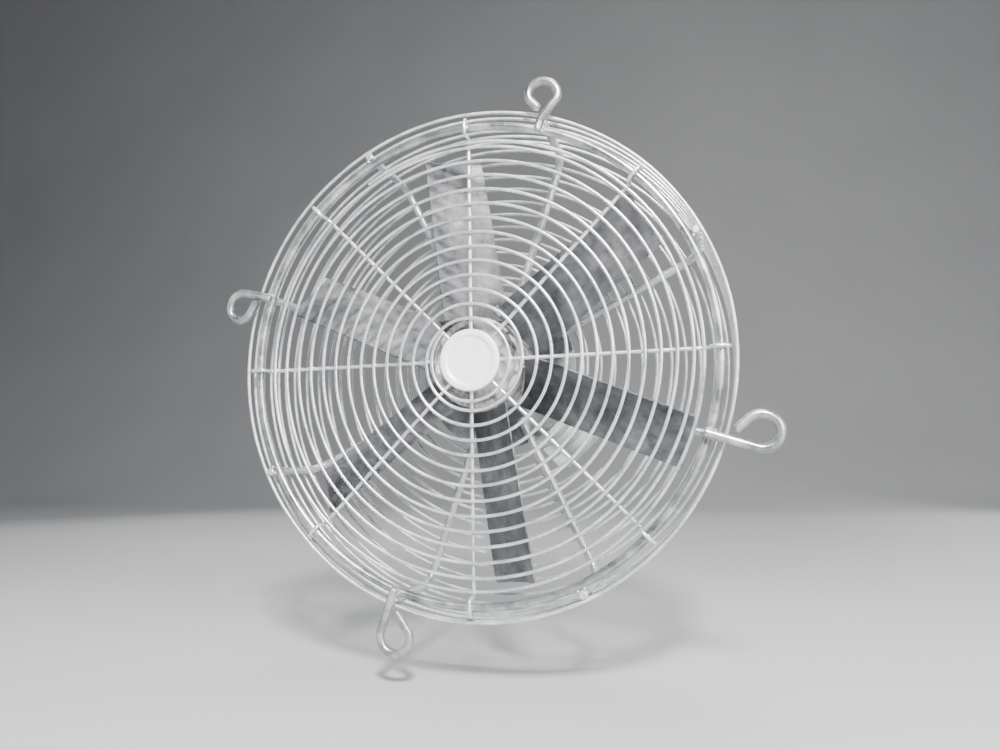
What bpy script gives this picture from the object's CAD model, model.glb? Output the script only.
"""The looks of a hanging basket fan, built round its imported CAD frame.

Shapes are worked out in the fan's own frame, in millimetres: the fan axis is Y, the air leaves towards -Y,
y = 0 is the middle of the front guard's wire, and angles run from +X towards +Z.
"""
import math
import random

import bmesh
import bpy
import numpy as np
from mathutils import Matrix, Vector, noise


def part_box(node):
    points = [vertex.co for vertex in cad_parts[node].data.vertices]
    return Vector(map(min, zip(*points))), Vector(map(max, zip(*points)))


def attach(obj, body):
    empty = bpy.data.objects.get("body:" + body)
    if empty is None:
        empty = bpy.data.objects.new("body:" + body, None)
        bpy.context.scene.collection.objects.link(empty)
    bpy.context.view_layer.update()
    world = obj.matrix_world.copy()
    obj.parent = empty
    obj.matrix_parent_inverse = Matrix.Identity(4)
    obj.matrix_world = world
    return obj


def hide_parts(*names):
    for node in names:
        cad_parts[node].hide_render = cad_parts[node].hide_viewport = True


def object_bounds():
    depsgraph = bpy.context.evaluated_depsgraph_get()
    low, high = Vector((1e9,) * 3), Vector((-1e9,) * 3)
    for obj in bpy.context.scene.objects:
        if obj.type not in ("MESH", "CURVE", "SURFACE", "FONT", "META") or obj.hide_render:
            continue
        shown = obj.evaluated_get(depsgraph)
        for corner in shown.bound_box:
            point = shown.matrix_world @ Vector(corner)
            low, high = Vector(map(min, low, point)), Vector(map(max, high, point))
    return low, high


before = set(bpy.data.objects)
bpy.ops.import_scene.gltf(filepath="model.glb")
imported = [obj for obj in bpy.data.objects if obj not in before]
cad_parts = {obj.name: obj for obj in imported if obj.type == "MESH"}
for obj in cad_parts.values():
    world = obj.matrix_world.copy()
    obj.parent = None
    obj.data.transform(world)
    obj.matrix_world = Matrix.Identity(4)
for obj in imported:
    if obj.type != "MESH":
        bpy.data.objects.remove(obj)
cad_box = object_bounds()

MM = 0.001
BASKET = "basket"
IMPELLER = "impeller"

# ----- driving sizes, millimetres and degrees
RING_R, RING_ROD_R, RING_Y = 235.0, 4.0, -4.0
WIRE_R, WIRE_PITCH = 1.66, 14.5
# A wound wire keeps to its first and its last track for this part of a turn
STRAIGHT_TURN = 0.74
STEPS_PER_TURN = 120
FRONT_INNER_R, FRONT_OUTER_R, FRONT_START = 40.3, 221.5, 135.0
SPOKE_R, SPOKE_Y, SPOKE_INNER_R, SPOKE_STRAIGHT_R = 1.85, 3.55, 24.0, 219.0
# The spoke's outer end steps forward over the main ring and hooks down behind it: radius and y
SPOKE_HOOK = [
    (221.5, SPOKE_Y), (225.8, 2.8), (227.2, 0), (227.2, -6.2), (228.8, -9.2),
    (232.5, -10.1), (238, -10.1), (241.6, -8.8), (243.3, -6), (243.3, -1),
]
SPOKE_ANGLES = [45.0 * k for k in range(8)]
RIB_ROD_R, RIB_LEG_R, RIB_BEND_R = 4.0, 243.5, 20.0
RIB_BACK_Y, RIB_FRONT_Y, RIB_INNER_R = 88.0, -8.0, 60.0
RIB_ANGLES = [26.0 + 45.0 * k for k in range(8)]
REAR_INNER_R, REAR_BACK_Y, REAR_END = 95.0, 93.85, -34.0
# Each eye: the angle of its shank, then the middle, the half sizes and the free end of its loop, as distances
# out along the shank and beside it
EYES = [
    (71, (267.4, 5.4), (12.3, 14.85), (252.4, 5.6)),
    (161, (263.3, 17.6), (13.4, 15.05), (247.4, 7.0)),
    (251, (274.6, 15.2), (14.65, 15.35), (251.3, 8.4)),
    (341, (276.0, 15.2), (15.25, 14.65), (255.4, 9.4)),
]
EYE_ROD_R, EYE_SHANK_R, EYE_Y = 4.1, 243.0, -12.3
PLATE_R, PLATE_FRONT_Y, PLATE_BACK_Y, PLATE_HOLE_R = 87.0, 92.4, 95.4, 16.0
FLANGE_BOLT_R = 32.0
FLANGE_BOLT_ANGLES = (5, 95, 185, 275)
ROTOR_R = 46.0
BLADE_ANGLES = [38.0, 97.0, 156.0, 216.0, 278.0, 337.0]
BLADE_ROOT = {"u": 48.0, "chord": 75.0, "pitch": 46.0, "across": -0.2, "y": 38.0}
BLADE_TIP = {"u": 220.0, "chord": 63.0, "pitch": 36.0, "across": 1.4, "y": 33.7}
BLADE_ROOT_U = 46.4
BLADE_CAMBER, BLADE_THICK, BLADE_CORNER, BLADE_EDGE_TRIM, BLADE_DENT = 5.0, 1.6, 3.5, 0.3, 0.55
CLIP_U, CLIP_LENGTH = 47.2, 7.0
BOX_ANGLE, BOX_NEAR_R, BOX_LENGTH, BOX_WIDTH = -47.0, 66.0, 60.0, 50.0
BOX_FRONT_Y, BOX_DEPTH, BOX_GROOVE = 95.8, 36.0, 0.6
LID_THICK, LID_POCKET_DEPTH, LID_SCREW_INSET = 5.0, 2.8, 6.0
BOX_SCREW_U, BOX_SCREW_V = 77.0, 12.0
GLAND_U, GLAND_Y, GLAND_BORE_R = BOX_NEAR_R + 38.0, BOX_FRONT_Y + 20.0, 3.3
LEAD_R, LEAD_Y = 3.35, BOX_FRONT_Y + 12.0

ring_low, ring_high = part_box("main_ring")
ORIGIN = np.array((ring_low + ring_high) / 2) - np.array([0.0, RING_Y * MM, 0.0])

# Both sources of chance are seeded, so every run makes the same object
rng = random.Random(20)
noise.seed_set(20)


# ----- small geometry helpers
def around(radius, degrees, y=0.0):
    """A point at a radius and an angle round the fan axis."""
    a = math.radians(degrees)
    return np.array([radius * math.cos(a), y, radius * math.sin(a)])


def unit(v):
    return v / np.linalg.norm(v)


def clamp(value, low, high):
    return min(max(value, low), high)


def local_frame(degrees):
    """Columns: outward, along the fan axis, and beside (counter-clockwise from the front)."""
    return np.stack([around(1, degrees), np.array([0.0, 1.0, 0.0]), around(1, degrees + 90)], axis=1)


def to_row(points):
    """Millimetres in the fan's frame to metres in the row's frame."""
    return np.asarray(points, float) * MM + ORIGIN


def chaikin(points, rounds=3):
    """The path with its corners cut, keeping both ends."""
    pts = np.asarray(points, float)
    for _ in range(rounds):
        a = pts[:-1] * 0.75 + pts[1:] * 0.25
        b = pts[:-1] * 0.25 + pts[1:] * 0.75
        mid = np.empty((len(a) * 2, 3))
        mid[0::2], mid[1::2] = a, b
        pts = np.vstack([pts[:1], mid, pts[-1:]])
    return pts


def resample(points, spacing):
    """The path with evenly spaced points."""
    pts = np.asarray(points, float)
    lengths = np.concatenate([[0], np.cumsum(np.linalg.norm(np.diff(pts, axis=0), axis=1))])
    count = max(2, int(round(lengths[-1] / spacing)) + 1)
    wanted = np.linspace(0, lengths[-1], count)
    return np.stack([np.interp(wanted, lengths, pts[:, k]) for k in range(3)], axis=1)


def swayed(r, degrees, y, seed, amount=0.22):
    """A point on a hand-jigged wire: a little off its true line."""
    p = around(r, degrees, y)
    wander = noise.noise_vector(Vector(p * 0.018) + Vector((seed, seed * 0.7, 0)))
    return p + unit(around(1, degrees)) * wander.x * amount + np.array([0, wander.y * amount, 0])


def ring_faces(count, sides, closed=False):
    """Quads between neighbouring rings of vertices. closed joins the last ring to the first."""
    faces = []
    for i in range(count if closed else count - 1):
        a, b = i * sides, ((i + 1) % count) * sides
        for k in range(sides):
            m = (k + 1) % sides
            faces.append((a + k, b + k, b + m, a + m))
    return faces


def end_caps(count, sides):
    """Flat faces over the first and the last ring of vertices."""
    return [tuple(range(sides)), tuple(reversed(range((count - 1) * sides, count * sides)))]


class Shape:
    """Vertices and faces gathered from several closed bodies."""

    def __init__(self):
        self.verts = []
        self.faces = []

    def add(self, verts, faces):
        base = len(self.verts)
        self.verts.extend(np.asarray(verts, float).tolist())
        self.faces.extend([tuple(base + i for i in f) for f in faces])
        return self

    @property
    def mesh(self):
        return self.verts, self.faces


# The cut ends of a rod: how long and how wide their chamfer is, as shares of the rod's radius
CHAMFER_LENGTH, CHAMFER_R = 0.3, 0.72


def tube(points, radius, sides=12, closed=False, lump=0.0, seed=0.0):
    """A round rod along a path, with a small chamfer on each cut end."""
    pts = np.asarray(points, float)
    n = len(pts)
    if closed:
        tangents = np.roll(pts, -1, 0) - np.roll(pts, 1, 0)
    else:
        tangents = np.gradient(pts, axis=0)
    tangents /= np.linalg.norm(tangents, axis=1)[:, None]
    side = np.cross(tangents[0], [0.0, 1.0, 0.0])
    if np.linalg.norm(side) < 0.1:
        side = np.cross(tangents[0], [1.0, 0.0, 0.0])
    normals = np.empty_like(pts)
    for i in range(n):
        side = unit(side - tangents[i] * np.dot(side, tangents[i]))
        normals[i] = side
    binormals = np.cross(tangents, normals)
    radii = np.full(n, float(radius))
    if lump:
        radii *= [1 + lump * noise.noise(Vector(p * 0.12) + Vector((seed, 0, 0))) for p in pts]
    if not closed:
        cut = CHAMFER_LENGTH * radius
        near, far = pts[:1] + tangents[:1] * cut, pts[-1:] - tangents[-1:] * cut
        pts = np.vstack([pts[:1], near, pts[1:-1], far, pts[-1:]])
        radii = np.concatenate([radii[:1] * CHAMFER_R, radii, radii[-1:] * CHAMFER_R])
        normals = np.vstack([normals[:1], normals, normals[-1:]])
        binormals = np.vstack([binormals[:1], binormals, binormals[-1:]])
        n += 2
    angles = np.linspace(0, 2 * math.pi, sides, endpoint=False)
    cosines, sines = np.cos(angles)[None, :, None], np.sin(angles)[None, :, None]
    circle = cosines * normals[:, None, :] + sines * binormals[:, None, :]
    verts = (pts[:, None, :] + radii[:, None, None] * circle).reshape(-1, 3)
    faces = ring_faces(n, sides, closed)
    if not closed:
        faces += end_caps(n, sides)
    return verts, faces


_ball = bmesh.new()
bmesh.ops.create_icosphere(_ball, subdivisions=2, radius=1.0)
BALL_VERTS = np.array([v.co for v in _ball.verts])
BALL_FACES = [tuple(v.index for v in f.verts) for f in _ball.faces]
_ball.free()
BEAD_ROUGHNESS = 0.32


def bead(shape, centre, axes, sizes):
    """A lump of weld or zinc: an uneven ellipsoid. axes holds its three directions as columns."""
    shift = Vector((rng.uniform(-50, 50), rng.uniform(-50, 50), rng.uniform(-50, 50)))
    scale = np.array([1 + BEAD_ROUGHNESS * noise.noise(Vector(v) * 1.6 + shift) for v in BALL_VERTS])
    verts = (BALL_VERTS * scale[:, None] * np.asarray(sizes)) @ np.asarray(axes).T + np.asarray(centre)
    shape.add(verts, BALL_FACES)


ON_AXIS = 1e-6


def lathe(profile, sides=96):
    """A body turned round the fan axis from [radius, y] points. A profile off the axis closes on itself."""
    closed = all(r > ON_AXIS for r, _ in profile)
    verts, rings = [], []
    for r, y in profile:
        if r <= ON_AXIS:
            rings.append([len(verts)])
            verts.append([0.0, y, 0.0])
        else:
            rings.append(list(range(len(verts), len(verts) + sides)))
            verts.extend(around(r, 360.0 * k / sides, y) for k in range(sides))
    faces = []
    for i in range(len(rings) if closed else len(rings) - 1):
        a, b = rings[i], rings[(i + 1) % len(rings)]
        for k in range(sides):
            m = (k + 1) % sides
            if len(a) == 1:
                faces.append((a[0], b[k], b[m]))
            elif len(b) == 1:
                faces.append((a[k], b[0], a[m]))
            else:
                faces.append((a[k], b[k], b[m], a[m]))
    return verts, faces


def rounded(profile, radius, steps=4):
    """The same [radius, y] profile with its inner corners rounded."""
    pts = [np.array(p, float) for p in profile]
    out = [pts[0]]
    for before, corner, after in zip(pts, pts[1:], pts[2:]):
        a, b = before - corner, after - corner
        cut = min(radius, np.linalg.norm(a) * 0.45, np.linalg.norm(b) * 0.45)
        start, end = corner + unit(a) * cut, corner + unit(b) * cut
        for k in range(steps + 1):
            t = k / steps
            out.append((1 - t) ** 2 * start + 2 * t * (1 - t) * corner + t**2 * end)
    out.append(pts[-1])
    return [tuple(p) for p in out]


def rounded_loop(profile, radius):
    """A profile that ends where it starts, rounded, without the repeated point."""
    return rounded(profile, radius)[:-1]


def rounded_slab(layers, length, width, radius, steps=6):
    """A box with rounded upright edges, in the x-z plane about its middle. layers holds (y, inset) pairs."""
    verts = []
    for y, inset in layers:
        r = max(radius - inset, 0.3)
        hx, hz = length / 2 - inset - r, width / 2 - inset - r
        for cx, cz, start in ((hx, hz, 0), (-hx, hz, 90), (-hx, -hz, 180), (hx, -hz, 270)):
            for k in range(steps + 1):
                a = math.radians(start + 90 * k / steps)
                verts.append([cx + r * math.cos(a), y, cz + r * math.sin(a)])
    sides = 4 * (steps + 1)
    return verts, ring_faces(len(layers), sides) + end_caps(len(layers), sides)


# ----- pieces
def outward_mesh(name, verts, faces):
    """A mesh in the row's frame with its faces turned outward."""
    mesh = bpy.data.meshes.new(name)
    mesh.from_pydata(to_row(verts).tolist(), [], [tuple(f) for f in faces])
    mesh.validate()
    work = bmesh.new()
    work.from_mesh(mesh)
    bmesh.ops.recalc_face_normals(work, faces=work.faces)
    work.to_mesh(mesh)
    work.free()
    return mesh


def linked(name, data):
    """A new object in the scene."""
    made = bpy.data.objects.new(name, data)
    bpy.context.scene.collection.objects.link(made)
    return made


def add_piece(name, shape, finish, body, replaced=(), sharp=32.0, bevel=0.0):
    """A piece that rides on a body. shape is (vertices, faces), finish is (material, slot)."""
    material, slot_name = finish
    mesh = outward_mesh(name, *shape)
    mesh.polygons.foreach_set("use_smooth", [True] * len(mesh.polygons))
    mesh.set_sharp_from_angle(angle=math.radians(sharp))
    mesh.materials.append(material)
    piece = linked(name, mesh)
    if bevel:
        mod = piece.modifiers.new("edge", "BEVEL")
        mod.width = bevel * MM
        mod.segments = 2
        mod.limit_method = "ANGLE"
        mod.angle_limit = math.radians(40)
        mod.harden_normals = True
    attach(piece, body)
    if replaced:
        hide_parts(*replaced)
    return piece


def carve(piece, cutter_shape):
    """Cuts closed bodies out of a piece's mesh."""
    cutter = linked(piece.name + "_cut", outward_mesh(piece.name + "_cut", *cutter_shape.mesh))
    mod = piece.modifiers.new("recess", "BOOLEAN")
    mod.object = cutter
    mod.operation = "DIFFERENCE"
    mod.solver = "EXACT"
    mod.use_self = True
    depsgraph = bpy.context.evaluated_depsgraph_get()
    cut_mesh = bpy.data.meshes.new_from_object(piece.evaluated_get(depsgraph))
    piece.modifiers.clear()
    piece.data = cut_mesh
    bpy.data.objects.remove(cutter)


# ----- materials
# The colour mixing node's sockets
MIX_FACTOR, MIX_A, MIX_B, MIX_RESULT = 0, 6, 7, 2


def node(tree, kind, **values):
    made = tree.nodes.new(kind)
    for key, value in values.items():
        made.inputs[key].default_value = value
    return made


def ramp(tree, factor, stops):
    """Colours along a factor, each stop as (place, colour)."""
    made = node(tree, "ShaderNodeValToRGB")
    elements = made.color_ramp.elements
    while len(elements) < len(stops):
        elements.new(0.5)
    for element, (place, colour) in zip(elements, stops):
        element.position = place
        element.color = (*colour, 1.0)
    tree.links.new(factor, made.inputs["Fac"])
    return made.outputs["Color"]


def spread(tree, factor, low, high, start=0.3, end=0.7):
    """A number that goes from low to high while the factor goes from start to end."""
    made = node(
        tree, "ShaderNodeMapRange", **{"From Min": start, "From Max": end, "To Min": low, "To Max": high},
    )
    tree.links.new(factor, made.inputs["Value"])
    return made.outputs["Result"]


def multiply(tree, a, b):
    made = node(tree, "ShaderNodeMix")
    made.data_type = "RGBA"
    made.blend_type = "MULTIPLY"
    made.inputs[MIX_FACTOR].default_value = 1.0
    tree.links.new(a, made.inputs[MIX_A])
    tree.links.new(b, made.inputs[MIX_B])
    return made.outputs[MIX_RESULT]


def new_material(name, metallic, specular=0.5):
    material = bpy.data.materials.new(name)
    material.use_nodes = True
    tree = material.node_tree
    shader = tree.nodes["Principled BSDF"]
    shader.inputs["Metallic"].default_value = metallic
    shader.inputs["Specular IOR Level"].default_value = specular
    place = tree.nodes.new("ShaderNodeTexCoord").outputs["Object"]
    return material, tree, shader, place


def textured(tree, place, scale, detail=4.0, roughness=0.6):
    made = node(tree, "ShaderNodeTexNoise", Scale=scale, Detail=detail, Roughness=roughness)
    tree.links.new(place, made.inputs["Vector"])
    return made.outputs["Fac"]


def bumped(tree, shader, layers):
    """Bump from several textures, each as (output, strength, depth in millimetres)."""
    previous = None
    for height, strength, depth in layers:
        made = node(tree, "ShaderNodeBump", Strength=strength, Distance=depth * MM)
        tree.links.new(height, made.inputs["Height"])
        if previous is not None:
            tree.links.new(previous, made.inputs["Normal"])
        previous = made.outputs["Normal"]
    tree.links.new(previous, shader.inputs["Normal"])


def galvanised(name, light, dark, rough=(0.3, 0.5), metallic=0.85, grain=260.0, spangle=0.0, lumps=1.0):
    """Hot-dip zinc: a cool mottled tone, a soft uneven gloss, small runs, and crystals on flat sheet."""
    material, tree, shader, place = new_material(name, metallic)
    mottle = textured(tree, place, 42.0, 5.0, 0.62)
    fine = textured(tree, place, grain, 3.0, 0.7)
    middle = tuple((a + b) / 2 for a, b in zip(light, dark))
    colour = ramp(tree, mottle, [(0.3, dark), (0.48, middle), (0.66, light)])
    speck = ramp(tree, fine, [(0.3, (0.84, 0.85, 0.86)), (0.6, (1.0, 1.0, 1.0))])
    colour = multiply(tree, colour, speck)
    if spangle:
        cells = node(tree, "ShaderNodeTexVoronoi", Scale=120.0)
        tree.links.new(place, cells.inputs["Vector"])
        facet = ramp(tree, cells.outputs["Color"], [(0.1, (1 - spangle,) * 3), (0.9, (1.0, 1.0, 1.0))])
        colour = multiply(tree, colour, facet)
    tree.links.new(colour, shader.inputs["Base Color"])
    tree.links.new(spread(tree, mottle, *rough), shader.inputs["Roughness"])
    bumped(tree, shader, [(mottle, 0.12 * lumps, 0.4), (fine, 0.08, 0.08)])
    return material


def blade_metal():
    """Mill-finish aluminium sheet: cloudy grey stains, a fine grain and a soft sheen."""
    material, tree, shader, place = new_material("blade_sheet", 0.6)
    cloud = textured(tree, place, 17.0, 6.0, 0.65)
    stain = textured(tree, place, 55.0, 4.0, 0.7)
    fine = textured(tree, place, 420.0, 2.0, 0.6)
    tones = [(0.32, (0.12, 0.122, 0.13)), (0.5, (0.235, 0.24, 0.25)), (0.7, (0.42, 0.425, 0.44))]
    patch = [(0.3, (0.55, 0.55, 0.56)), (0.54, (1.0, 1.0, 1.0))]
    colour = multiply(tree, ramp(tree, cloud, tones), ramp(tree, stain, patch))
    tree.links.new(colour, shader.inputs["Base Color"])
    tree.links.new(spread(tree, stain, 0.34, 0.52), shader.inputs["Roughness"])
    bumped(tree, shader, [(cloud, 0.2, 0.8), (fine, 0.12, 0.06)])
    return material


def cast_metal():
    """Turned cast alloy, bright where it is rubbed and stained dark in patches."""
    material, tree, shader, place = new_material("cast_alloy", 0.55)
    cloud = textured(tree, place, 30.0, 7.0, 0.72)
    fine = textured(tree, place, 700.0, 3.0, 0.65)
    tones = [
        (0.34, (0.12, 0.115, 0.11)), (0.44, (0.46, 0.45, 0.44)),
        (0.54, (0.80, 0.795, 0.79)), (0.7, (0.90, 0.895, 0.89)),
    ]
    tree.links.new(ramp(tree, cloud, tones), shader.inputs["Base Color"])
    tree.links.new(spread(tree, cloud, 0.55, 0.34), shader.inputs["Roughness"])
    bumped(tree, shader, [(fine, 0.3, 0.1), (cloud, 0.15, 0.3)])
    return material


def badge_finish():
    """A bright satin silver disc with faint smears."""
    material, tree, shader, place = new_material("badge_silver", 0.1)
    cloud = textured(tree, place, 60.0, 5.0, 0.6)
    fine = textured(tree, place, 900.0, 2.0, 0.5)
    tones = [(0.32, (0.93, 0.935, 0.94)), (0.5, (0.985, 0.985, 0.985))]
    tree.links.new(ramp(tree, cloud, tones), shader.inputs["Base Color"])
    tree.links.new(spread(tree, cloud, 0.24, 0.4), shader.inputs["Roughness"])
    bumped(tree, shader, [(fine, 0.1, 0.04), (cloud, 0.1, 0.2)])
    return material


def moulded(name, light, dark, rough=(0.42, 0.6), grain=1100.0):
    """Moulded plastic with a fine spark-eroded grain and slight fading."""
    material, tree, shader, place = new_material(name, 0.0, 0.45)
    cloud = textured(tree, place, 26.0, 4.0, 0.55)
    fine = textured(tree, place, grain, 2.0, 0.5)
    tree.links.new(ramp(tree, cloud, [(0.3, dark), (0.7, light)]), shader.inputs["Base Color"])
    tree.links.new(spread(tree, cloud, *rough), shader.inputs["Roughness"])
    bumped(tree, shader, [(fine, 0.25, 0.06)])
    return material


def plated(name, light, dark, rough=(0.22, 0.42)):
    """Plated or bare metal with a fine grain."""
    material, tree, shader, place = new_material(name, 0.95)
    cloud = textured(tree, place, 160.0, 4.0, 0.6)
    fine = textured(tree, place, 1500.0, 2.0, 0.6)
    tree.links.new(ramp(tree, cloud, [(0.3, dark), (0.7, light)]), shader.inputs["Base Color"])
    tree.links.new(spread(tree, cloud, *rough), shader.inputs["Roughness"])
    bumped(tree, shader, [(fine, 0.15, 0.04)])
    return material


wire_zinc = galvanised("wire_zinc", (0.95, 0.96, 0.97), (0.66, 0.68, 0.70), (0.26, 0.42), 0.74)
rear_zinc = galvanised("rear_wire_zinc", (0.86, 0.87, 0.88), (0.54, 0.56, 0.58), (0.34, 0.5), 0.62)
rod_zinc = galvanised(
    "rod_zinc", (0.70, 0.71, 0.71), (0.24, 0.25, 0.26), (0.26, 0.48), 0.88, grain=420.0, lumps=2.6,
)
rib_zinc = galvanised(
    "rib_zinc", (0.88, 0.89, 0.90), (0.48, 0.50, 0.51), (0.28, 0.46), 0.74, grain=420.0, lumps=2.0,
)
sheet_zinc = galvanised("sheet_zinc", (0.62, 0.64, 0.65), (0.40, 0.42, 0.43), (0.34, 0.5), spangle=0.22)
weld_zinc = galvanised("weld_zinc", (0.72, 0.73, 0.74), (0.34, 0.35, 0.36), (0.38, 0.58), lumps=2.5)
blade_sheet = blade_metal()
cast_alloy = cast_metal()
badge_silver = badge_finish()
box_plastic = moulded("box_plastic", (0.62, 0.67, 0.64), (0.50, 0.55, 0.53))
gland_plastic = moulded("gland_plastic", (0.05, 0.05, 0.055), (0.025, 0.025, 0.03), (0.38, 0.55))
lead_sheath = moulded("lead_sheath", (0.045, 0.045, 0.05), (0.02, 0.02, 0.022), (0.5, 0.68), 700.0)
screw_steel = plated("screw_steel", (0.72, 0.73, 0.74), (0.48, 0.49, 0.50))
laminate = plated("laminate", (0.30, 0.31, 0.32), (0.16, 0.165, 0.17), (0.4, 0.6))
winding = plated("winding", (0.62, 0.30, 0.13), (0.38, 0.17, 0.08), (0.3, 0.5))

# Each finish is a material and the record's slot
FRONT_WIRE = (wire_zinc, "wire_bright")
FRONT_WELD = (weld_zinc, "wire_bright")
REAR_WIRE = (rear_zinc, "wire_dull")
REAR_WELD = (weld_zinc, "wire_dull")
FRAME_ROD = (rod_zinc, "rod_zinc")
FRAME_RIB = (rib_zinc, "rod_zinc")
FRAME_WELD = (weld_zinc, "rod_zinc")
BLADE = (blade_sheet, "blade_sheet")
BLADE_WELD = (weld_zinc, "blade_sheet")
CAST = (cast_alloy, "cast_alloy")
STEEL = (screw_steel, "screw_steel")
BOX = (box_plastic, "box_plastic")
SHEATH = (lead_sheath, "lead_sheath")
# Welds are rough lumps, so only their sharpest edges are kept
WELD_SHARP = 60


# ----- front guard
def winding_turns(travel):
    """Turns in a wire that keeps to its first and its last track for part of a turn, in 24ths of a turn."""
    return round((2 * STRAIGHT_TURN + travel / WIRE_PITCH) * 24) / 24


def front_radius(turn):
    return clamp(FRONT_INNER_R + WIRE_PITCH * (turn - STRAIGHT_TURN), FRONT_INNER_R, FRONT_OUTER_R)


front_turns = winding_turns(FRONT_OUTER_R - FRONT_INNER_R)


def front_spiral():
    """One wire wound in a flat spiral from the badge out to the ring."""
    path = [
        swayed(front_radius(i / STEPS_PER_TURN), FRONT_START + 360.0 * i / STEPS_PER_TURN, 0.0, 3.1)
        for i in range(int(front_turns * STEPS_PER_TURN) + 1)
    ]
    wire = tube(path, WIRE_R, 12, lump=0.05)
    add_piece("front_guard_spiral_wire", wire, FRONT_WIRE, BASKET, ["front_guard_spiral"])


def front_spokes():
    """Eight wires behind the spiral, hooked over the main ring."""
    for i, degrees in enumerate(SPOKE_ANGLES):
        straight = [around(r, degrees, SPOKE_Y) for r in np.arange(SPOKE_INNER_R, SPOKE_STRAIGHT_R, 6.0)]
        hook = chaikin([around(r, degrees, y) for r, y in SPOKE_HOOK], 3)
        wire = tube(np.vstack([straight, hook]), SPOKE_R, 12, lump=0.05, seed=i * 3.3)
        name = f"front_guard_spoke_wire_{i + 1}"
        add_piece(name, wire, FRONT_WIRE, BASKET, [f"front_guard_spoke_{i + 1}"])


def front_welds():
    """Welds where the spokes cross the spiral and meet the ring, and loose lumps of zinc on the spiral."""
    welds = Shape()
    crossing_y = 1.85
    for degrees in SPOKE_ANGLES:
        axes = local_frame(degrees)
        turn = ((degrees - FRONT_START) / 360.0) % 1.0
        while turn <= front_turns:
            size = rng.uniform(0.9, 1.25)
            centre = around(front_radius(turn), degrees, crossing_y)
            bead(welds, centre, axes, (2.1 * size, 0.85, 2.3 * size))
            turn += 1.0
        bead(welds, around(235.2, degrees, -8.0), axes, (3.4, 1.2, 2.9))
        bead(welds, around(239.6, degrees, -6.4), axes, (1.6, 2.2, 2.6))
    for _ in range(26):
        turn = rng.uniform(0.9, front_turns - 0.4)
        degrees = FRONT_START + 360 * turn
        centre = around(front_radius(turn), degrees, rng.choice((-1.4, 0.2))) + np.array([0, 0, -1.2])
        size = rng.uniform(0.7, 1.3)
        bead(welds, centre, local_frame(degrees), (0.9 * size, 0.8 * size, 1.7 * size))
    add_piece("front_guard_welds", welds.mesh, FRONT_WELD, BASKET, sharp=WELD_SHARP)


def guard_badge():
    """The plain disc in the middle of the guard: a dished face inside a raised rim."""
    face = [(0, -2.3), (22.8, -2.3), (25.0, -4.1), (29.4, -4.1)]
    back = [(30.7, -2.8), (30.7, 0.3), (29.4, 1.4), (0, 1.4)]
    disc = lathe(rounded(face + back, 1.2), 128)
    add_piece("guard_badge_disc", disc, (badge_silver, "badge_silver"), BASKET, ["guard_badge"])


front_spiral()
front_spokes()
front_welds()
guard_badge()

# ----- main ring, ribs and eyes
# The middle of the bend where the basket's back turns into its side
BEND_R, BEND_Y = RIB_LEG_R - RIB_BEND_R, RIB_BACK_Y - RIB_BEND_R
frame_welds = Shape()


def main_ring():
    """The thick round rod ring round the mouth of the basket."""
    path = [swayed(RING_R, 360.0 * k / 256, RING_Y, 9.4, 0.3) for k in range(256)]
    rod = tube(path, RING_ROD_R, 20, closed=True, lump=0.03)
    add_piece("main_ring_rod", rod, FRAME_ROD, BASKET, ["main_ring"])


def rib_line():
    """A rib's middle line as radius and y: out along the back, round the bend and forward to the ring."""
    line = [(r, RIB_BACK_Y) for r in np.arange(RIB_INNER_R, BEND_R, 5.0)]
    for k in range(17):
        a = math.pi / 2 * (1 - k / 16)
        line.append((BEND_R + RIB_BEND_R * math.cos(a), BEND_Y + RIB_BEND_R * math.sin(a)))
    line += [(RIB_LEG_R, y) for y in np.arange(BEND_Y - 4, RIB_FRONT_Y + 3, -4.0)]
    return line + [(RIB_LEG_R, RIB_FRONT_Y)]


def basket_ribs():
    """Eight ribs, each welded to the ring and, along both sides, to the motor plate."""
    for i, degrees in enumerate(RIB_ANGLES):
        path = [around(r, degrees, y) for r, y in rib_line()]
        rod = tube(path, RIB_ROD_R, 18, lump=0.04, seed=i * 5.1)
        add_piece(f"basket_rib_rod_{i + 1}", rod, FRAME_RIB, BASKET, [f"basket_rib_{i + 1}"])
        axes = local_frame(degrees)
        beside = axes[:, 2]
        for side in (-1, 1):
            at_ring = around(239.4, degrees, -4.6) + beside * side * 3.4
            bead(frame_welds, at_ring, axes, (2.1, 3.2, 2.6))
            for r in np.arange(64, 86, 3.1):
                at_plate = around(r + rng.uniform(-0.5, 0.5), degrees, 91.5) + beside * side * 2.7
                bead(frame_welds, at_plate, axes, (2.4, 1.3, 1.7))


def touching_angle(point, middle, half, side):
    """The angle round a loop's middle at which a straight line from a point touches the loop."""
    across_u, across_v = (middle[0] - point[0]) / half[0], (middle[1] - point[1]) / half[1]
    lean = math.asin(1 / math.hypot(across_u, across_v))
    return math.atan2(across_v, across_u) + side * (lean + math.pi / 2)


def eye_line(middle, half, end):
    """An eye's middle line, out along the shank and beside it: shank, oval loop and free end."""
    leave = touching_angle((EYE_SHANK_R, 0), middle, half, -1)
    arrive = touching_angle(end, middle, half, 1)
    line = [(231, 0), (237, 0), (EYE_SHANK_R, 0)]
    for k in range(41):
        a = leave + (arrive - leave) * k / 40
        line.append((middle[0] + half[0] * math.cos(a), middle[1] + half[1] * math.sin(a)))
    return line + [end]


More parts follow.
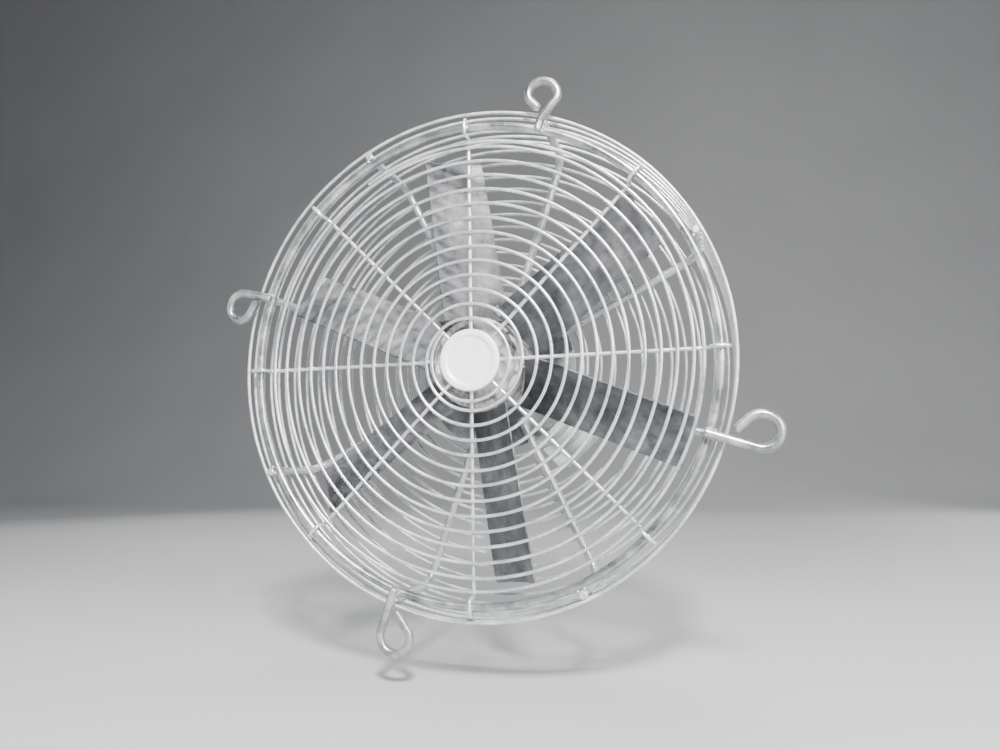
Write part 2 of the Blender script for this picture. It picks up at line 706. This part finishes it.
def hanging_eyes():
    """Four bent-rod eyes, each with its shank welded behind the ring."""
    for i, (degrees, middle, half, end) in enumerate(EYES):
        axes = local_frame(degrees)
        outward, beside = axes[:, 0], axes[:, 2]
        path = [outward * u + beside * v + np.array([0, EYE_Y, 0]) for u, v in eye_line(middle, half, end)]
        rod = tube(resample(chaikin(path, 2), 1.6), EYE_ROD_R, 20, lump=0.03, seed=i * 7.7)
        add_piece(f"hanging_eye_rod_{i + 1}", rod, FRAME_ROD, BASKET, [f"hanging_eye_{i + 1}"])
        for side in (-1, 1):
            for step in range(3):
                centre = around(233.2 + 2.2 * step, degrees, -8.4) + beside * side * 3.2
                bead(frame_welds, centre, axes, (2.0, 1.9, 2.1))
        bead(frame_welds, around(243.4, degrees, -8.2), axes, (3.0, 1.0, 2.8))


main_ring()
basket_ribs()
hanging_eyes()

# ----- rear guard
rear_bend = RIB_BEND_R + REAR_BACK_Y - RIB_BACK_Y
rear_side = BEND_Y - RING_Y
rear_arc = rear_bend * math.pi / 2
rear_length = rear_side + rear_arc + BEND_R - REAR_INNER_R
rear_turns = winding_turns(rear_length)


def rear_profile(length):
    """Radius, y and outward angle of the basket's skin at a length along it from the front."""
    if length < rear_side:
        return BEND_R + rear_bend, RING_Y + length, 0.0
    if length < rear_side + rear_arc:
        a = (length - rear_side) / rear_bend
        return BEND_R + rear_bend * math.cos(a), BEND_Y + rear_bend * math.sin(a), a
    return BEND_R - (length - rear_side - rear_arc), BEND_Y + rear_bend, math.pi / 2


def rear_place(turn):
    """The rear wire's radius, y and outward angle at a number of turns from its front end."""
    return rear_profile(clamp(WIRE_PITCH * (turn - STRAIGHT_TURN), 0, rear_length))


def rear_wire():
    """One wire wound round the side of the basket and on over its back."""
    path = []
    for i in range(int(rear_turns * STEPS_PER_TURN) + 1):
        turn = i / STEPS_PER_TURN
        r, y, _ = rear_place(turn)
        path.append(swayed(r, REAR_END + 360.0 * (rear_turns - turn), y, 6.2, 0.3))
    wire = tube(path, WIRE_R, 12, lump=0.05, seed=40)
    replaced = ["rear_guard_side_coil", "rear_guard_back_spiral"]
    add_piece("rear_guard_spiral_wire", wire, REAR_WIRE, BASKET, replaced)


def rear_welds():
    """Welds between the rear wire and the ribs inside it."""
    welds = Shape()
    inward = 2.1
    for degrees in RIB_ANGLES:
        axes = local_frame(degrees)
        turn = ((REAR_END + 360.0 * rear_turns - degrees) / 360.0) % 1.0
        while turn <= rear_turns:
            r, y, a = rear_place(turn)
            centre = around(r - inward * math.cos(a), degrees, y - inward * math.sin(a))
            size = rng.uniform(0.9, 1.2)
            wide = 1.0 + 1.6 * math.sin(a)
            deep = 1.0 + 1.6 * math.cos(a)
            bead(welds, centre, axes, (wide * size, deep * size, 2.6 * size))
            turn += 1.0
    add_piece("rear_guard_welds", welds.mesh, REAR_WELD, BASKET, sharp=WELD_SHARP)


rear_wire()
rear_welds()
add_piece("frame_welds", frame_welds.mesh, FRAME_WELD, BASKET, sharp=WELD_SHARP)


# ----- motor mounting plate and flange
def motor_plate():
    """The round plate the ribs and the motor are fixed to."""
    start = (PLATE_HOLE_R, 93.9)
    corners = [
        start, (PLATE_HOLE_R, PLATE_FRONT_Y), (PLATE_R, PLATE_FRONT_Y), (PLATE_R, PLATE_BACK_Y),
        (PLATE_HOLE_R, PLATE_BACK_Y), start,
    ]
    disc = lathe(rounded_loop(corners, 0.7), 128)
    add_piece("motor_plate_disc", disc, (sheet_zinc, "plate_zinc"), BASKET, ["motor_plate"])


def stator_flange():
    """The cast flange with its bearing tube."""
    corners = [
        (14.35, 40), (14.35, 32), (18, 32), (18, 79), (36, 79), (41, 79.6), (44, 82), (44, 84.6),
        (43.2, 85.2), (43.2, 86.4), (44, 87), (44, 92.05), (5, 92.05), (5, 89), (14.35, 89), (14.35, 60),
        (14.35, 40),
    ]
    body = lathe(rounded_loop(corners, 0.6), 96)
    add_piece("stator_flange_body", body, CAST, BASKET, ["stator_flange"])


def hex_bolt(centre, y_face, head_height, across, washer_r, washer_thick=1.0, slant=0.5):
    """A hexagon head standing on a washer, its top edge turned off at a slant."""
    spin = rng.uniform(0, 60)
    top = y_face + head_height
    corner_r = across * 0.577
    verts = []
    for y, r in ((y_face + washer_thick, corner_r), (top - slant, corner_r), (top, across * 0.5)):
        for k in range(6):
            a = math.radians(spin + 60 * k)
            verts.append([centre[0] + r * math.cos(a), y, centre[2] + r * math.sin(a)])
    shape = Shape().add(verts, end_caps(3, 6) + ring_faces(3, 6))
    washer_y = y_face + washer_thick
    edge = rounded([(0, y_face), (washer_r, y_face), (washer_r, washer_y), (0, washer_y)], 0.25)
    washer_verts, washer_faces = lathe(edge, 32)
    return shape.add(np.array(washer_verts) + np.array([centre[0], 0, centre[2]]), washer_faces)


def flange_bolts():
    """Four bolt heads behind the plate."""
    for i, degrees in enumerate(FLANGE_BOLT_ANGLES):
        bolt = hex_bolt(around(FLANGE_BOLT_R, degrees), PLATE_BACK_Y, 4.0, 8.0, 4.9)
        name = f"flange_bolt_head_{i + 1}"
        add_piece(name, bolt.mesh, STEEL, BASKET, [f"flange_bolt_{i + 1}"], bevel=0.15)


motor_plate()
stator_flange()
flange_bolts()


# ----- rotor and blades
def rotor_shell():
    """The outer shell of the motor: a cup with a bearing boss and two turned grooves."""
    corners = [
        (6.35, 24), (6.35, 19.6), (12.4, 19.6), (13.6, 21), (15.2, 24.6), (36.6, 24.6), (38.6, 23),
        (39.8, 18.6), (41.4, 18), (44.2, 18), (46, 19.8), (46, 30), (45.4, 30.6), (45.4, 32.2), (46, 32.8),
        (46, 70), (45.4, 70.6), (45.4, 72), (46, 72.6), (46, 76), (43.4, 76), (43.4, 27), (13, 27), (12, 31),
        (6.35, 31), (6.35, 24),
    ]
    shell = lathe(rounded_loop(corners, 0.9), 128)
    add_piece("rotor_shell_body", shell, CAST, IMPELLER, ["rotor_shell"])


def rotor_shaft():
    """The shaft, turned down at both ends."""
    profile = rounded([(0, 20.4), (5.4, 20.4), (6, 21), (6, 87.4), (5.4, 88), (0, 88)], 0.2)
    add_piece("shaft_turned", lathe(profile, 48), STEEL, IMPELLER, ["shaft"])


def blade_mix(u, key):
    """A blade's size at a distance out, between its root's and its tip's."""
    t = (u - BLADE_ROOT["u"]) / (BLADE_TIP["u"] - BLADE_ROOT["u"])
    return BLADE_ROOT[key] + (BLADE_TIP[key] - BLADE_ROOT[key]) * t


def blade_place(u, s, trim=0.0):
    """The middle of the sheet at a distance out along the blade. s runs from -1 at the rear edge to 1."""
    pitch = math.radians(blade_mix(u, "pitch"))
    reach = s * (blade_mix(u, "chord") / 2 - trim)
    y = blade_mix(u, "y") - reach * math.sin(pitch) + BLADE_CAMBER * (1 - s * s)
    y += BLADE_THICK / 2 / math.cos(pitch)
    return np.array([u, y, blade_mix(u, "across") + reach * math.cos(pitch)])


def corner_trim(u):
    """How much the rounded tip corners take off half the chord."""
    into = BLADE_CORNER - (BLADE_TIP["u"] - u)
    if into <= 0:
        return BLADE_EDGE_TRIM
    return BLADE_EDGE_TRIM + BLADE_CORNER - math.sqrt(max(BLADE_CORNER**2 - into**2, 0.0))


def blade_middle(seed):
    """The blade's middle surface as rows of points, pressed and handled so it is not quite true."""
    across = np.linspace(-1, 1, 25)
    tips = [BLADE_TIP["u"] - short for short in (BLADE_CORNER, 2.6, 1.8, 1.1, 0.55, 0.2, 0.0)]
    shares = np.linspace(0, 1, 34)[:-1]
    rows = [BLADE_ROOT_U + share * (tips[0] - BLADE_ROOT_U) for share in shares] + tips
    grid = np.empty((len(rows), len(across), 3))
    for i, u in enumerate(rows):
        for k, s in enumerate(across):
            grid[i, k] = blade_place(u, s, corner_trim(u))
            broad = noise.noise(Vector((u * 0.016, s * 0.9, seed)))
            small = noise.noise(Vector((u * 0.06, s * 2.4, seed)))
            grid[i, k, 1] += BLADE_DENT * (broad + 0.35 * small)
    return grid


def thickened(grid, thickness):
    """A sheet of even thickness about a middle surface."""
    normals = np.cross(np.gradient(grid, axis=0), np.gradient(grid, axis=1))
    normals /= np.maximum(np.linalg.norm(normals, axis=2), 1e-9)[:, :, None]
    layers = [grid - normals * thickness / 2, grid + normals * thickness / 2]
    verts = np.concatenate([layer.reshape(-1, 3) for layer in layers])
    count, cols = grid.shape[:2]
    size = count * cols
    faces = []
    for i in range(count - 1):
        for k in range(cols - 1):
            a, b = i * cols + k, (i + 1) * cols + k
            faces.append((a, b, b + 1, a + 1))
            faces.append((size + a, size + a + 1, size + b + 1, size + b))
    rim = [(i, 0) for i in range(count)] + [(count - 1, k) for k in range(1, cols)]
    rim += [(i, cols - 1) for i in range(count - 2, -1, -1)] + [(0, k) for k in range(cols - 2, 0, -1)]
    rim = [i * cols + k for i, k in rim]
    for a, b in zip(rim, rim[1:] + rim[:1]):
        faces.append((a, b, size + b, size + a))
    return verts, faces


def blades():
    """Six twisted, cambered sheet blades, each with a row of weld beads along its root."""
    welds = Shape()
    for i, degrees in enumerate(BLADE_ANGLES):
        axes = local_frame(degrees)
        verts, faces = thickened(blade_middle(i * 9.7), BLADE_THICK)
        sheet = (verts @ axes.T, faces)
        add_piece(f"blade_sheet_{i + 1}", sheet, BLADE, IMPELLER, [f"blade_{i + 1}"], sharp=50, bevel=0.3)
        for s in np.arange(-0.5, 0.51, 0.05):
            at = blade_place(BLADE_ROOT_U, s)
            # The gap between the straight root and the round rotor, which the weld fills
            gap = BLADE_ROOT_U - math.sqrt(ROTOR_R**2 - at[2] ** 2)
            bead(welds, axes @ (at - np.array([gap / 2, 0, 0])), axes, (1.2 + gap / 2, 1.9, 1.5))
    add_piece("blade_root_welds", welds.mesh, BLADE_WELD, IMPELLER, sharp=WELD_SHARP)


def bridge(outer, inner):
    """Triangles between two open lines of vertices."""
    faces = []
    o, n = 0, 0
    while o < len(outer) - 1 or n < len(inner) - 1:
        if n >= len(inner) - 1 or (o < len(outer) - 1 and o * len(inner) <= n * len(outer)):
            faces.append((outer[o], outer[o + 1], inner[n]))
            o += 1
        else:
            faces.append((outer[o], inner[n + 1], inner[n]))
            n += 1
    return faces


def balance_clip():
    """A spring clip on the first blade's front edge: a U of thin strip with its two lips turned out."""
    middle = CLIP_U + CLIP_LENGTH / 2
    edge = blade_place(middle, 1.0)
    along = unit((edge - blade_place(middle, 2 / 3)) * np.array([0, 1, 1]))
    across = np.array([0.0, along[2], -along[1]])
    outer_half = [(-8, 2.05), (-7.2, 1.9), (-5, 1.2), (1.2, 1.25), (2.2, 0.6)]
    inner_half = [(-7.9, -1.5), (-5, -0.95), (1.0, -0.9), (1.5, -0.4)]
    outside = outer_half + [(s, -t) for s, t in reversed(outer_half)]
    inside = inner_half + [(s, -t) for s, t in reversed(inner_half)]
    loop = outside + inside
    axes = local_frame(BLADE_ANGLES[0])
    verts = []
    for u in (CLIP_U + 0.1, CLIP_U + CLIP_LENGTH - 0.1):
        for s, t in loop:
            verts.append(axes @ (along * s + across * t + np.array([u, edge[1], edge[2]])))
    count = len(loop)
    faces = [(k, (k + 1) % count, count + (k + 1) % count, count + k) for k in range(count)]
    for base in (0, count):
        outer = [base + k for k in range(len(outside))]
        inner = [base + k for k in range(count - 1, len(outside) - 1, -1)]
        faces += bridge(outer, inner)
    add_piece("balance_clip_spring", (verts, faces), STEEL, IMPELLER, ["balance_clip"])


rotor_shell()
rotor_shaft()
blades()
balance_clip()

# ----- terminal box, lid, gland and lead
BOX_AXES = local_frame(BOX_ANGLE)
BOX_MIDDLE_U = BOX_NEAR_R + BOX_LENGTH / 2
BOX_BACK_Y = BOX_FRONT_Y + BOX_DEPTH
LID_TOP = BOX_BACK_Y + LID_THICK
LID_SEAT = LID_TOP - LID_POCKET_DEPTH
SCREW_U, SCREW_V = BOX_LENGTH / 2 - LID_SCREW_INSET, BOX_WIDTH / 2 - LID_SCREW_INSET
LID_SCREWS = [(side_u * SCREW_U, side_v * SCREW_V) for side_u in (-1, 1) for side_v in (-1, 1)]


def in_box(verts, u=BOX_MIDDLE_U, v=0.0):
    """Moves points given about (u, 0, v) in the box's own directions into the fan's frame."""
    return (np.asarray(verts, float) + np.array([u, 0, v])) @ BOX_AXES.T


def box_base():
    """The box with a groove round it near the lid and a row of ribs on both long sides."""
    groove_y = BOX_FRONT_Y + 27.0
    layers = [
        (BOX_FRONT_Y, 1.2), (BOX_FRONT_Y + 0.4, 0.5), (BOX_FRONT_Y + 1.2, 0.1), (BOX_FRONT_Y + 2.4, 0.0),
        (groove_y, 0.0), (groove_y + 0.6, BOX_GROOVE), (groove_y + 1.8, BOX_GROOVE), (groove_y + 2.4, 0.0),
        (BOX_BACK_Y - 0.5, 0.0), (BOX_BACK_Y, 0.4),
    ]
    verts, faces = rounded_slab(layers, BOX_LENGTH, BOX_WIDTH, 4.5)
    box = Shape().add(in_box(verts), faces)
    rib_low, rib_high = BOX_FRONT_Y + 5, BOX_FRONT_Y + 24
    rib_layers = [(rib_low, 0.3), (rib_low + 0.4, 0.0), (rib_high - 0.4, 0.0), (rib_high, 0.3)]
    rib_verts, rib_faces = rounded_slab(rib_layers, 1.6, 1.2, 0.5, 2)
    for offset in np.arange(-20, 20.1, 8.0):
        for side in (-1, 1):
            box.add(in_box(rib_verts, BOX_MIDDLE_U + offset, side * (BOX_WIDTH / 2)), rib_faces)
    add_piece("terminal_box_base", box.mesh, BOX, BASKET, ["terminal_box"])


def box_lid():
    """The lid, with a round pocket for each screw head."""
    layers = [
        (BOX_BACK_Y + 0.2, 0.5), (BOX_BACK_Y + 0.5, 0.1), (BOX_BACK_Y + 1.0, 0.0), (LID_TOP - 1.4, 0.0),
        (LID_TOP - 0.5, 0.45), (LID_TOP, 1.5),
    ]
    verts, faces = rounded_slab(layers, BOX_LENGTH + 1, BOX_WIDTH + 1, 5.0)
    lid_shape = (in_box(verts), faces)
    lid = add_piece("terminal_box_cover", lid_shape, BOX, BASKET, ["terminal_box_lid"], sharp=30)
    mouth_y = LID_TOP + 0.4
    pocket = [(0, LID_SEAT), (3.8, LID_SEAT), (4.1, LID_TOP - 0.4), (4.7, mouth_y), (0, mouth_y)]
    pocket_verts, pocket_faces = lathe(pocket, 40)
    pockets = Shape()
    for du, dv in LID_SCREWS:
        pockets.add(np.array(pocket_verts) + BOX_AXES @ np.array([BOX_MIDDLE_U + du, 0, dv]), pocket_faces)
    carve(lid, pockets)


def cross_head(name, centre, facing, radius, height, replaced):
    """A pan-head screw with a cross recess. facing is +1 or -1 along the fan axis."""
    profile = [(0, 0), (radius * 0.92, 0), (radius, 0.25)]
    for k in range(6):
        a = math.radians(15 + 75 * k / 5)
        profile.append((radius * math.cos(a) if k < 5 else 0, height * 0.35 + height * 0.65 * math.sin(a)))
    verts, faces = lathe(profile, 32)
    verts = np.array(verts) * np.array([1, facing, 1])
    head = add_piece(name, (verts + centre, faces), STEEL, BASKET, replaced, sharp=45)
    cutter = Shape()
    spin = rng.uniform(0, 90)
    half_long, half_wide = radius * 0.62, 0.42
    for turn in (0, 90):
        a = math.radians(spin + turn)
        c, s = math.cos(a), math.sin(a)
        corners = []
        for y, w in ((height * 0.45, 0.55), (height + 1.0, 1.0)):
            for side_x, side_z in ((-1, -1), (1, -1), (1, 1), (-1, 1)):
                x, z = side_x * half_long * w, side_z * half_wide * w
                corners.append([x * c - z * s, y * facing, x * s + z * c])
        cutter.add(np.array(corners) + centre, end_caps(2, 4) + ring_faces(2, 4))
    carve(head, cutter)


def box_screws():
    """Four screws in the lid's pockets, and two through the plate that hold the box."""
    for i, (du, dv) in enumerate(LID_SCREWS):
        centre = BOX_AXES @ np.array([BOX_MIDDLE_U + du, 0, dv]) + np.array([0, LID_SEAT, 0])
        cross_head(f"lid_screw_head_{i + 1}", centre, 1, 3.2, 2.1, [f"lid_screw_{i + 1}"])
    for i, dv in enumerate((-BOX_SCREW_V, BOX_SCREW_V)):
        centre = BOX_AXES @ np.array([BOX_SCREW_U, 0, dv]) + np.array([0, PLATE_FRONT_Y - 0.05, 0])
        cross_head(f"box_screw_head_{i + 1}", centre, -1, 3.6, 2.7, [f"box_screw_{i + 1}"])


def gland_ring(rings, sides, lobes=0, lobe=0.0, turn=0.0):
    """A hollow turned body on the box's side, from (distance out, radius) rings, with or without lobes."""
    verts = []
    for along_v, radius in rings:
        for k in range(sides):
            wave = 1 + (lobe if lobes and (k * lobes * 2 // sides) % 2 else 0.0)
            a = math.radians(360.0 * k / sides + turn)
            u, y = GLAND_U + radius * wave * math.cos(a), GLAND_Y + radius * wave * math.sin(a)
            verts.append(BOX_AXES @ np.array([u, y, BOX_WIDTH / 2 + along_v]))
    return verts, ring_faces(len(rings), sides, closed=True)


def cable_gland():
    """The cable inlet: a hexagon nut and a lobed cap with an open bore."""
    bore = GLAND_BORE_R
    nut = [(0.3, bore), (0.3, 9.1), (0.9, 9.5), (5.6, 9.5), (6.2, 9.1), (6.2, bore)]
    cap = [(6.2, bore), (6.2, 7.9), (7.4, 8.1), (12.0, 7.2), (14.0, 6.0), (14.8, 4.6), (14.8, bore)]
    gland = Shape().add(*gland_ring(nut, 6, turn=30)).add(*gland_ring(cap, 48, 12, 0.035))
    finish = (gland_plastic, "gland_plastic")
    add_piece("cable_gland_body", gland.mesh, finish, BASKET, ["cable_gland"], sharp=30, bevel=0.2)


def motor_lead():
    """The lead from the flange through the plate into the box, with a grommet where it enters."""
    rise = [(0, 92.1), (0, 97), (0.6, 101.6), (2.8, 105.2)]
    line = rise + [(7, LEAD_Y), (14, LEAD_Y), (BOX_NEAR_R + 3, LEAD_Y)]
    path = resample(chaikin([BOX_AXES @ np.array([u, y, 0]) for u, y in line], 3), 2.0)
    add_piece("motor_lead_sheath", tube(path, LEAD_R, 20, lump=0.02), SHEATH, BASKET, ["motor_lead"])
    profile = [(-3.2, 3.6), (-3.2, 5.0), (-2.6, 5.9), (-0.2, 6.2), (-0.2, 3.6)]
    sides = 32
    verts = []
    for along_u, radius in profile:
        for k in range(sides):
            a = 2 * math.pi * k / sides
            local = np.array([BOX_NEAR_R + along_u, LEAD_Y + radius * math.cos(a), radius * math.sin(a)])
            verts.append(BOX_AXES @ local)
    grommet = (verts, ring_faces(len(profile), sides, closed=True))
    add_piece("motor_lead_grommet", grommet, SHEATH, BASKET, sharp=40)


box_base()
box_lid()
box_screws()
cable_gland()
motor_lead()

# ----- carried-over CAD pieces inside the motor
CARRIED = {
    "stator_core": laminate, "stator_winding_front": winding, "stator_winding_rear": winding,
    "rotor_cage": laminate, "bearing_front": screw_steel, "bearing_rear": screw_steel,
}
for name, material in CARRIED.items():
    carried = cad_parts[name]
    carried.data.materials.clear()
    carried.data.materials.append(material)

# ----- floor and backdrop, in metres
FLOOR_HALF, FLOOR_DROP, SWEEP_START, SWEEP_R, SWEEP_TOP = 7.0, 0.03, 2.2, 1.6, 5.0


def add_floor():
    """A pale floor that sweeps up into a backdrop behind the fan."""
    floor_z = cad_box[0].z - FLOOR_DROP
    sweep = [(-FLOOR_HALF, 0.0)]
    for k in range(33):
        a = math.pi / 2 * k / 32
        sweep.append((SWEEP_START + SWEEP_R * math.sin(a), SWEEP_R * (1 - math.cos(a))))
    sweep.append((SWEEP_START + SWEEP_R, SWEEP_TOP))
    mesh = bpy.data.meshes.new("floor")
    mesh.from_pydata(
        [(x, y, floor_z + z) for y, z in sweep for x in (-FLOOR_HALF, FLOOR_HALF)],
        [],
        [(2 * k, 2 * k + 1, 2 * k + 3, 2 * k + 2) for k in range(len(sweep) - 1)],
    )
    mesh.polygons.foreach_set("use_smooth", [True] * len(mesh.polygons))
    material, tree, shader, place = new_material("floor_pale", 0.0, 0.3)
    cloud = textured(tree, place, 1.2, 3.0, 0.5)
    tones = [(0.3, (0.50, 0.505, 0.51)), (0.7, (0.54, 0.545, 0.55))]
    tree.links.new(ramp(tree, cloud, tones), shader.inputs["Base Color"])
    tree.links.new(spread(tree, cloud, 0.6, 0.75), shader.inputs["Roughness"])
    mesh.materials.append(material)
    linked("floor", mesh)


# ----- light
def add_world():
    """A soft grey room, lighter overhead, that the camera sees as one even grey."""
    world = bpy.data.worlds.new("studio")
    bpy.context.scene.world = world
    world.use_nodes = True
    tree = world.node_tree
    split = node(tree, "ShaderNodeSeparateXYZ")
    tree.links.new(tree.nodes.new("ShaderNodeTexCoord").outputs["Generated"], split.inputs["Vector"])
    height = spread(tree, split.outputs["Z"], 0.0, 1.0, start=-0.3, end=0.8)
    tones = [(0.0, (0.05, 0.05, 0.05)), (0.35, (0.20, 0.205, 0.21)), (1.0, (0.75, 0.76, 0.80))]
    pick = node(tree, "ShaderNodeMix")
    pick.data_type = "RGBA"
    tree.links.new(tree.nodes.new("ShaderNodeLightPath").outputs["Is Camera Ray"], pick.inputs[MIX_FACTOR])
    tree.links.new(ramp(tree, height, tones), pick.inputs[MIX_A])
    pick.inputs[MIX_B].default_value = (0.40, 0.405, 0.41, 1.0)
    background = tree.nodes["Background"]
    tree.links.new(pick.outputs[MIX_RESULT], background.inputs["Color"])
    background.inputs["Strength"].default_value = 0.4


def softbox(name, offset, size, energy, colour=(1, 1, 1)):
    """A rectangular lamp, aimed at the fan's middle from an offset in metres. energy is in watts."""
    data = bpy.data.lights.new(name, "AREA")
    data.shape = "RECTANGLE"
    data.size, data.size_y = size
    data.energy = energy
    data.color = colour
    lamp = linked(name, data)
    lamp.location = Vector(to_row([0, 40, 0]).tolist()) + Vector(offset)
    lamp.rotation_euler = (-Vector(offset)).to_track_quat("-Z", "Y").to_euler()


def add_lights():
    softbox("key_front", (0.55, -1.45, 1.2), (0.3, 0.3), 72, (1.0, 0.99, 0.97))
    softbox("side_right", (1.75, -1.0, 0.55), (0.7, 0.9), 26, (1.0, 0.99, 0.98))
    softbox("fill_left", (-1.6, -1.2, 0.4), (1.4, 1.2), 7, (0.94, 0.96, 1.0))
    softbox("top", (0.2, 0.5, 2.0), (1.2, 1.0), 16)
    softbox("back_left", (-1.6, 1.5, 0.9), (1.0, 1.4), 8)
    softbox("back_right", (1.3, 1.9, 0.6), (1.0, 1.2), 8)
    bpy.context.scene.view_settings.look = "AgX - Medium High Contrast"


# ----- camera
LENS, SENSOR = 26.23, 36.0
# In the fan's frame, before the small turn about the fan axis that sets the spokes off level
CAMERA_AT = (233.7, -670.2, -86.6)
YAW, PITCH, SPOKE_TILT = -16.85, -5.8, 0.93


def add_camera():
    sy, cy = math.sin(math.radians(YAW)), math.cos(math.radians(YAW))
    sp, cp = math.sin(math.radians(PITCH)), math.cos(math.radians(PITCH))
    right = Vector((cy, -sy, 0))
    ahead = Vector((sy * cp, cy * cp, -sp))
    up = Vector((sy * sp, cy * sp, cp))
    tilt = Matrix.Rotation(math.radians(SPOKE_TILT), 3, "Y")
    data = bpy.data.cameras.new("camera")
    data.lens, data.sensor_width = LENS, SENSOR
    data.clip_start, data.clip_end = 0.01, 50
    camera = linked("camera", data)
    spot = Vector(to_row(list(tilt @ Vector(CAMERA_AT))).tolist())
    rotation = Matrix(((tilt @ right), (tilt @ up), -(tilt @ ahead))).transposed()
    camera.matrix_world = Matrix.Translation(spot) @ rotation.to_4x4()
    bpy.context.scene.camera = camera


add_floor()
add_world()
add_lights()
add_camera()
